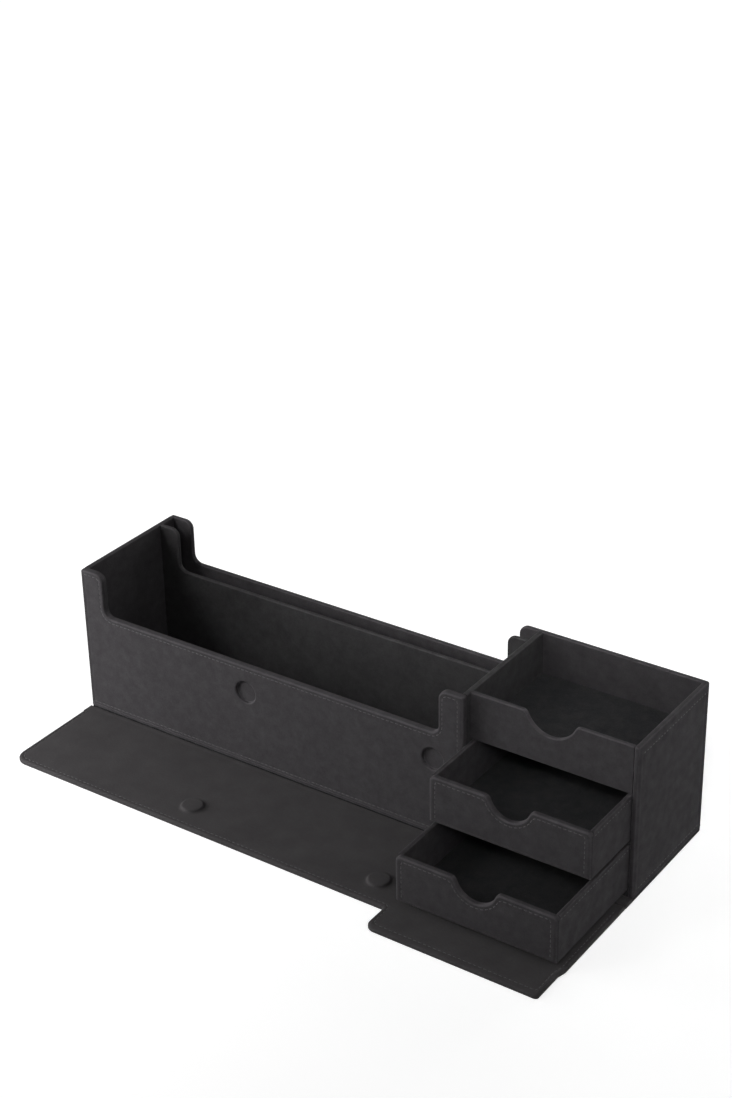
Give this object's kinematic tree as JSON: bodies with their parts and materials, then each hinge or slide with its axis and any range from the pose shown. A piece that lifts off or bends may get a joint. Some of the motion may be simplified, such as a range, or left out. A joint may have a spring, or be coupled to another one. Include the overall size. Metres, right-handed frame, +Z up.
{
  "type": "card storage box",
  "caption": "Long rigid card storage box with low-cut walls, a rear slot, an open tray above sliding drawers at one end, and a hinged front flap with magnets.",
  "frame": {"origin": "middle of the box's underside, on the surface that it stands on, the open flap not counted", "axes": "+X along the box towards the drawers' end, -Y out of the front where the flap and drawers open, +Z up"},
  "size_m": [0.403, 0.1913, 0.1054],
  "materials": {
    "outer_wrap": "charcoal suede-like wrap, matte",
    "inner_wrap": "charcoal wrap, matte",
    "inner_lining": "soft microfibre, matte",
    "magnet": "plated"
  },
  "bodies": {
    "case": {"base_board": "outer_wrap", "left_end_wall": "outer_wrap", "right_end_wall": "outer_wrap", "tower_wall": "outer_wrap", "back_wall": "outer_wrap", "slot_divider": "inner_wrap", "front_board": "outer_wrap", "front_liner": "inner_wrap", "front_magnets": "magnet", "hinge_strip": "outer_wrap", "tower_floor": "inner_wrap", "drawer_shelf": "inner_wrap", "tray_floor": "inner_wrap", "tray_lining": "inner_lining", "tray_front": "outer_wrap", "card_bay_lining": "inner_lining", "slot_lining": "inner_lining"},
    "front_flap": {"flap_board": "outer_wrap", "flap_magnet_caps": "outer_wrap", "flap_magnets": "magnet"},
    "upper_drawer": {"upper_drawer_front": "outer_wrap", "upper_drawer_back": "outer_wrap", "upper_drawer_left_side": "outer_wrap", "upper_drawer_right_side": "outer_wrap", "upper_drawer_floor": "outer_wrap", "upper_drawer_lining": "inner_lining"},
    "lower_drawer": {"lower_drawer_front": "outer_wrap", "lower_drawer_back": "outer_wrap", "lower_drawer_left_side": "outer_wrap", "lower_drawer_right_side": "outer_wrap", "lower_drawer_floor": "outer_wrap", "lower_drawer_lining": "inner_lining"}
  },
  "joints": [
    {"name": "front_flap_hinge", "type": "hinge", "parent": "case", "child": "front_flap", "pos_m": [0, -0.0504, 0.0017], "axis": [-1, 0, 0], "range_deg": [-90, 0]},
    {"name": "upper_drawer_slide", "type": "slide", "parent": "case", "child": "upper_drawer", "axis": [0, -1, 0], "range_m": [-0.0375, 0.0385]},
    {"name": "lower_drawer_slide", "type": "slide", "parent": "case", "child": "lower_drawer", "axis": [0, -1, 0], "range_m": [-0.073, 0.003]}
  ]
}
